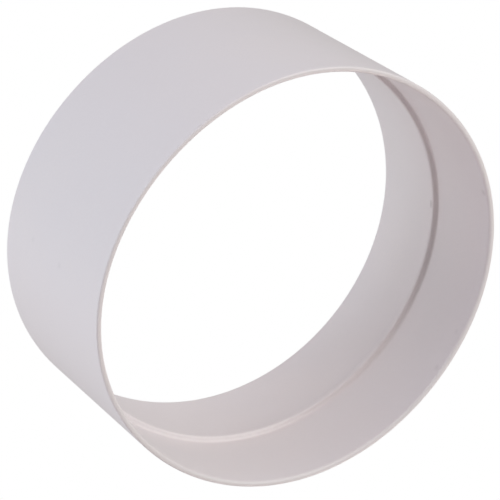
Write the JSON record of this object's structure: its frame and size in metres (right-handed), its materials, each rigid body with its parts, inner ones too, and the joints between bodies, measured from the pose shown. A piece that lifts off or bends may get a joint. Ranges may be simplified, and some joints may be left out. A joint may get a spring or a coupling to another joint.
{
  "type": "duct connector",
  "caption": "Short round plastic sleeve with a stop ring inside, half way along, that joins two rigid round ducts end to end.",
  "frame": {"origin": "centre of the lower rim's plane, where the sleeve stands on one end", "axes": "+Z along the sleeve's axis, up out of the upper socket; X and Y are any two directions across it"},
  "size_m": [0.129, 0.129, 0.057],
  "materials": {
    "white_plastic": "smooth moulded white plastic with a soft satin gloss"
  },
  "bodies": {
    "root": {"connector_sleeve": "white_plastic"}
  },
  "joints": []
}
